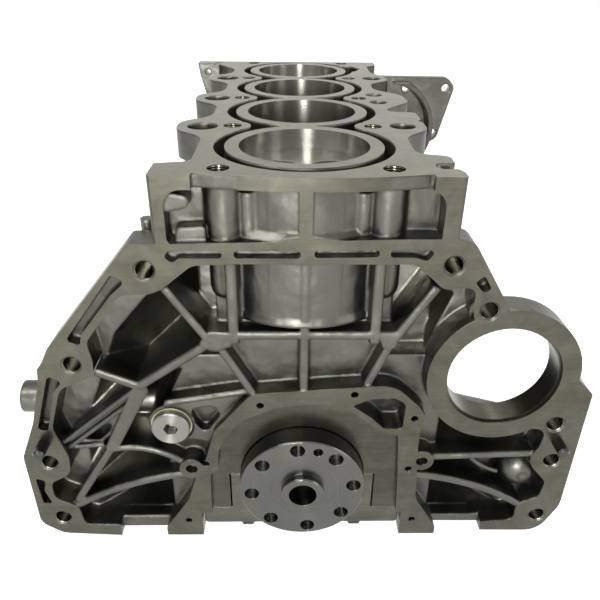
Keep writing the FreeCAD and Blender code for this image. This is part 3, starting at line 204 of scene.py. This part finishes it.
def grey(value):
    return (value, value, value, 1.0)


# ---- materials ------------------------------------------------------------------------------

def tinted(g, shade, warmth):
    """Grey of the given shade, a little yellow as bare aluminium and steel are."""
    blue = g.product(shade, g.math("SUBTRACT", 1.0, warmth))
    return g.node("ShaderNodeCombineColor", {0: shade, 1: g.mix(0.1, shade, blue), 2: blue}).outputs[0]


def varied(g, tone, *layers):
    """A shade that wanders about its tone: each layer is a noise and how far it reaches."""
    shade = tone
    for noise, reach in layers:
        shade = g.math("MULTIPLY_ADD", g.math("SUBTRACT", noise, 0.5), reach, shade)
    return shade


def cast_look(g, tone):
    """Die-cast skin: a fine grain, flow marks and dull patches over a softly uneven surface."""
    grain = g.noise(1300, 3, 0.6)
    clouds = g.noise(22, 4, 0.6, distortion=0.6)
    flow = g.noise(75, 3, 0.5, stretch=(1, 1, 0.35), distortion=1.2)
    lumps = g.noise(55, 2, 0.4)
    shade = varied(g, tone, (clouds, tone * 0.7), (flow, tone * 0.4), (grain, tone * 0.35))
    rough = g.spread(clouds, 0.26, 0.44)
    height = varied(g, g.product(lumps, 11.0), (flow, 1.6), (grain, 0.6))
    return shade, rough, height


def milled_look(g, tone):
    """A milled face: fine parallel streaks, cutter bands and handling stains."""
    streaks = g.noise(420, 3, 0.7, stretch=(0.05, 1.0, 1.0))
    bands = g.noise(15, 3, 0.6, stretch=(0.4, 1.0, 1.0), distortion=0.8)
    stains = g.noise(48, 4, 0.65, distortion=1.0)
    shade = varied(g, tone, (streaks, tone * 0.5), (bands, tone * 0.8), (stains, tone * 0.9))
    rough = g.spread(bands, 0.18, 0.42)
    return shade, rough, streaks


def flat_face(g, depth, outward):
    """1 on a flat face: depth is how far a place lies behind it, outward how far its normal turns to it."""
    return g.product(g.within(depth, EDGE), g.step(outward, 0.9, 0.98))


def bore_walls(g, x, y, nz):
    """1 on the walls of the cylinder bores."""
    radius = g.radius_about(x, g.from_nearest(y, FIRST_BORE_Y, BORE_PITCH), (0.0, 0.0))
    from_middle = g.math("ABSOLUTE", g.math("SUBTRACT", y, BORE_ROW_MIDDLE))
    upright = g.within(g.math("ABSOLUTE", nz), 0.4, 0.1)
    return g.product(g.within(radius, BORE_R + EDGE), g.within(from_middle, BORE_ROW_HALF, 1 * MM), upright)


def starter_bore(g, x, y, z):
    radius = g.radius_about(x, z, STARTER_AXIS)
    return g.product(g.within(radius, STARTER_R + 1.8 * MM), g.within(y, STARTER_DEPTH, 1 * MM))


def block_threads(g, x, y, z):
    """1 in the block's threaded holes, and the threads' height there."""
    room = 0.3 * MM
    side = g.math("ABSOLUTE", x)
    from_row = g.math("ABSOLUTE", g.from_nearest(y, FIRST_BORE_Y - BORE_PITCH / 2, BORE_PITCH))
    radius = g.radius_about(side, from_row, (DECK_BOLT_X, 0.0))
    below_deck = g.math("SUBTRACT", deck_z, z)
    deck_holes = g.product(g.within(radius, DECK_BOLT_R + room),
                           g.within(below_deck, DECK_THREAD_DEPTH, 1 * MM))
    bell_holes = 0.0
    for hole_x, hole_z in BELL_BOLTS:
        radius = g.radius_about(x, z, (hole_x * MM, hole_z * MM))
        bell_holes = g.largest(bell_holes, g.within(radius, BELL_BOLT_R + room))
    bell_holes = g.product(bell_holes, g.within(y, BELL_THREAD_DEPTH, 1 * MM))
    return g.largest(deck_holes, bell_holes), g.mix(bell_holes, g.ridges(z), g.ridges(y))


def flywheel_holes(g, x, y, z, ny):
    """1 on the walls of the flywheel bolt holes, which repeat round the crank's axis."""
    between = 2 * math.pi / FLYWHEEL_BOLTS
    turn = g.math("ADD", g.math("ARCTAN2", z, x), 2 * math.pi - FLYWHEEL_FIRST_ANGLE + between / 2)
    turn = g.math("SUBTRACT", g.math("MODULO", turn, between), between / 2)
    radius = g.radius_about(x, z, (0.0, 0.0))
    outward = g.product(radius, g.math("COSINE", turn))
    sideways = g.product(radius, g.math("SINE", turn))
    from_hole = g.radius_about(outward, sideways, (FLYWHEEL_PCD_R, 0.0))
    wall = g.within(g.math("ABSOLUTE", ny), 0.4, 0.2)
    return g.product(g.within(from_hole, FLYWHEEL_HOLE_R + 0.1 * MM), wall,
                     g.within(y, FLYWHEEL_FLANGE_Y, 2 * MM))


def block_material():
    g = Graph("block_casting")
    x, y, z = g.axes()
    ny, nz = g.facing()[1:]
    to_rear = g.product(ny, -1.0)
    to_rail = g.product(nz, -1.0)

    # where each finish is
    deck = flat_face(g, g.math("SUBTRACT", deck_z, z), nz)
    rear = flat_face(g, y, to_rear)
    front = flat_face(g, g.math("SUBTRACT", front_y, y), ny)
    rail = flat_face(g, g.math("SUBTRACT", z, rail_z), to_rail)
    recess = flat_face(g, g.math("ABSOLUTE", g.math("SUBTRACT", y, SEAL_RECESS)), to_rear)
    milled = g.largest(starter_bore(g, x, y, z), rear, front, rail, deck, recess)
    bore = bore_walls(g, x, y, nz)
    hole, thread = block_threads(g, x, y, z)
    hole = g.product(hole, g.math("SUBTRACT", 1.0, milled))
    smooth = g.largest(milled, bore, hole)

    cast_shade, cast_rough, cast_height = cast_look(g, CAST_TONE)
    # painted shade and painted light: the cast colour is darkened in the corners of the hollows near the
    # flywheel-end face and lightened in the corners of those deeper in
    shadow = g.step(g.recess(34 * MM), 0.0, 0.85)
    hollow_painted_light = g.mix(g.step(y, 12 * MM, 26 * MM), OPEN_HOLLOW_PAINTED_SHADE, DEEP_HOLLOW_PAINTED_LIGHT)
    cast_shade = g.product(cast_shade, g.mix(shadow, hollow_painted_light, 1.0))
    milled_shade, milled_rough, streaks = milled_look(g, MILLED_TONE)
    # painted light: the deck, the top face, is lightened here beyond the other milled faces
    milled_shade = g.product(milled_shade, g.mix(deck, 1.0, DECK_PAINTED_LIGHT), g.mix(recess, 1.0, RECESS_GAIN))
    hone = g.noise(900, 2, 0.6, stretch=(1.0, 1.0, 0.10))

    shade = g.mix(milled, cast_shade, milled_shade)
    # partly painted reflection: the bore walls are made much lighter than the rest, with their own streaky
    # honing grain
    shade = g.mix(bore, shade, g.spread(hone, *HONED_TONES_AND_SHEEN))
    # painted highlight: the walls of the threaded holes are made lighter than the cast and milled faces
    # round them
    shade = g.mix(hole, shade, BLOCK_THREAD_HIGHLIGHT)
    rough = g.mix(milled, cast_rough, milled_rough)
    rough = g.mix(bore, rough, 0.24)
    rough = g.mix(hole, rough, 0.22)
    warmth = g.mix(bore, g.mix(deck, g.mix(smooth, 0.15, 0.24), 0.32), 0.12)

    cast_normal = g.bump(cast_height, 0.45, 0.35 * MM, g.soft_edges(3.0 * MM))
    fine_height = g.mix(hole, g.mix(bore, streaks, hone), g.product(thread, 8.0))
    fine_normal = g.bump(fine_height, 0.3, 0.05 * MM)
    normals = {0: smooth, 4: cast_normal, 5: fine_normal}
    normal = g.node("ShaderNodeMix", normals, data_type="VECTOR").outputs[1]
    upright = g.node("ShaderNodeCombineXYZ", {2: 1.0}).outputs[0]
    return g.finish(Base_Color=tinted(g, shade, warmth), Roughness=rough, Normal=normal, Metallic=1.0,
                    Anisotropic=g.product(bore, 0.8), Tangent=upright)


def cast_iron_material():
    g = Graph("cap_casting")
    shade, rough, height = cast_look(g, 0.09)
    sawn = g.step(g.math("ABSOLUTE", g.facing()[1]), 0.9, 0.98)
    milled_shade, milled_rough, streaks = milled_look(g, 0.09)
    height = g.mix(sawn, height, g.product(streaks, 0.2))
    normal = g.bump(height, 0.4, 0.25 * MM, g.soft_edges(0.8 * MM))
    return g.finish(Base_Color=tinted(g, g.mix(sawn, shade, milled_shade), 0.20),
                    Roughness=g.mix(sawn, rough, milled_rough), Normal=normal, Metallic=1.0)


def turned_steel(name, tone, rough, warmth, axis=(0.0, 0.0), threaded=False):
    """Turned about a line along Y: rings of slightly different polish."""
    g = Graph(name)
    x, y, z = g.axes()
    radius = g.radius_about(x, z, axis)
    rings = g.node("ShaderNodeTexNoise", {"W": g.product(radius, 1500.0), "Scale": 1.0, "Detail": 3.0},
                   noise_dimensions="1D").outputs["Fac"]
    patches = g.noise(60, 3, 0.5)
    shade = varied(g, tone, (rings, tone * 0.7), (patches, tone * 0.3))
    height = rings
    if threaded:
        hole = flywheel_holes(g, x, y, z, g.facing()[1])
        # painted highlight: the walls of the flywheel bolt holes are made lighter than the turned steel
        # round them
        shade = g.mix(hole, shade, CRANK_THREAD_HIGHLIGHT)
        height = g.mix(hole, rings, g.product(g.ridges(y), 5.0))
    normal = g.bump(height, 0.3, 0.05 * MM, g.soft_edges(0.4 * MM))
    around = g.node("ShaderNodeTangent", direction_type="RADIAL", axis="Y").outputs[0]
    return g.finish(Base_Color=tinted(g, shade, warmth), Roughness=g.spread(patches, *rough), Normal=normal,
                    Metallic=1.0, Anisotropic=0.85, Anisotropic_Rotation=0.25, Tangent=around)


def plain_metal(name, tone, rough, warmth=0.05):
    g = Graph(name)
    fine = g.noise(1200, 3, 0.6)
    broad = g.noise(90, 3, 0.5)
    shade = varied(g, tone, (broad, tone * 0.48), (fine, tone * 0.3))
    normal = g.bump(fine, 0.2, 0.1 * MM, g.soft_edges(0.5 * MM))
    return g.finish(Base_Color=tinted(g, shade, warmth), Normal=normal, Metallic=1.0,
                    Roughness=g.spread(broad, rough - 0.07, rough + 0.07))


plug_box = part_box("gallery_plug")
plug_axis = ((plug_box[0].x + plug_box[1].x) / 2, (plug_box[0].z + plug_box[1].z) / 2)
looks = {
    "cast_block": block_material(),
    "cast_cap": cast_iron_material(),
    "crank_steel": turned_steel("crank_steel", 0.10, (0.16, 0.28), 0.12, threaded=True),
    "plug_steel": turned_steel("plug_steel", 0.20, (0.28, 0.42), 0.10, axis=plug_axis),
    "bolt_steel": plain_metal("black_oxide", 0.06, 0.42),
    "bearing_shell": plain_metal("bearing_shell", 0.30, 0.34),
    "pin_steel": plain_metal("ground_steel", 0.06, 0.30),
    "washer_copper": plain_metal("washer_copper", 0.34, 0.42, warmth=0.35),
    "rod_steel": plain_metal("forged_steel", 0.20, 0.48),
    "piston_alloy": plain_metal("piston_alloy", 0.24, 0.36, warmth=0.10),
    "ring_iron": plain_metal("ring_iron", 0.20, 0.36),
}
for entry in frame["record"]["subparts"]:
    mesh = nodes[entry["node"]].data
    mesh.materials.clear()
    mesh.materials.append(looks[entry["material_slot"]])


# ---- floor, lights and camera ---------------------------------------------------------------

def background_ray(g):
    """1 for the rays that show the background: to the camera, in metal and through glass."""
    path = g.node("ShaderNodeLightPath").outputs
    return g.largest(path["Is Camera Ray"], path["Is Glossy Ray"], path["Is Transmission Ray"])


def backdrop_material():
    """A pale floor. It shows the background's white in part by a glow of its own, and keeps the shadow."""
    g = Graph("backdrop")
    return g.finish(Base_Color=grey(0.60), Roughness=0.9, Emission_Color=grey(1.0),
                    Emission_Strength=g.product(background_ray(g), 0.80))


def make_floor():
    size = 6.0
    mesh = bpy.data.meshes.new("floor")
    corners = [(-size, -size, 0), (size, -size, 0), (size, size, 0), (-size, size, 0)]
    mesh.from_pydata(corners, [], [(0, 1, 2, 3)])
    floor = bpy.data.objects.new("floor", mesh)
    floor.location.z = lowest_z - 0.5 * MM
    bpy.context.scene.collection.objects.link(floor)
    mesh.materials.append(backdrop_material())


def make_world():
    """White where it is seen; the light it sends out is that of a pale wall beyond the block's front."""
    g = Graph("studio", bpy.data.worlds.new("studio"))
    bpy.context.scene.world = g.owner
    background = g.tree.nodes["Background"]
    direction = g.node("ShaderNodeTexCoord").outputs["Generated"]
    ahead = g.node("ShaderNodeSeparateXYZ", {0: direction}).outputs[1]
    wall = g.mix(g.step(ahead, -0.5, 0.7), 0.25, 1.0)
    g.put(background.inputs["Color"], grey(1.0))
    g.put(background.inputs["Strength"], g.largest(wall, background_ray(g)))


def area_light(name, place, target, size, power):
    data = bpy.data.lights.new(name, "AREA")
    data.shape = "RECTANGLE"
    data.size, data.size_y = size
    data.energy = power
    lamp = bpy.data.objects.new(name, data)
    lamp.location = place
    lamp.rotation_euler = (Vector(target) - Vector(place)).to_track_quat("-Z", "Y").to_euler()
    bpy.context.scene.collection.objects.link(lamp)


def make_camera():
    """At the photo's angle: pitched down at the flywheel end, from a short distance."""
    right = Vector((0.99982, -0.01597, 0.01014))
    up = Vector((-0.00112, 0.48515, 0.87443))
    back = Vector((-0.01888, -0.87428, 0.48505))
    data = bpy.data.cameras.new("camera")
    data.lens = 36.58
    data.sensor_width = 36.0
    data.clip_start = 0.02
    camera = bpy.data.objects.new("camera", data)
    basis = Matrix((right, up, back)).transposed().to_4x4()
    camera.matrix_world = Matrix.Translation((-10.10 * MM, -322.63 * MM, 327.14 * MM)) @ basis
    bpy.context.scene.collection.objects.link(camera)
    bpy.context.scene.camera = camera


make_floor()
make_world()
area_light("key", (-0.8, -0.5, 1.5), (0, 0.1, 0.1), (0.5, 0.5), 16)
area_light("top", (0.4, 0.7, 1.5), (0, 0.2, 0.1), (0.3, 1.2), 10)
area_light("fill", (1.3, -0.9, 0.4), (0, 0, 0.05), (0.5, 0.9), 5)
area_light("front", (-0.15, -1.2, 0.35), (0, 0, 0.03), (0.25, 0.5), 19)
make_camera()
bpy.context.scene.view_settings.view_transform = "Standard"
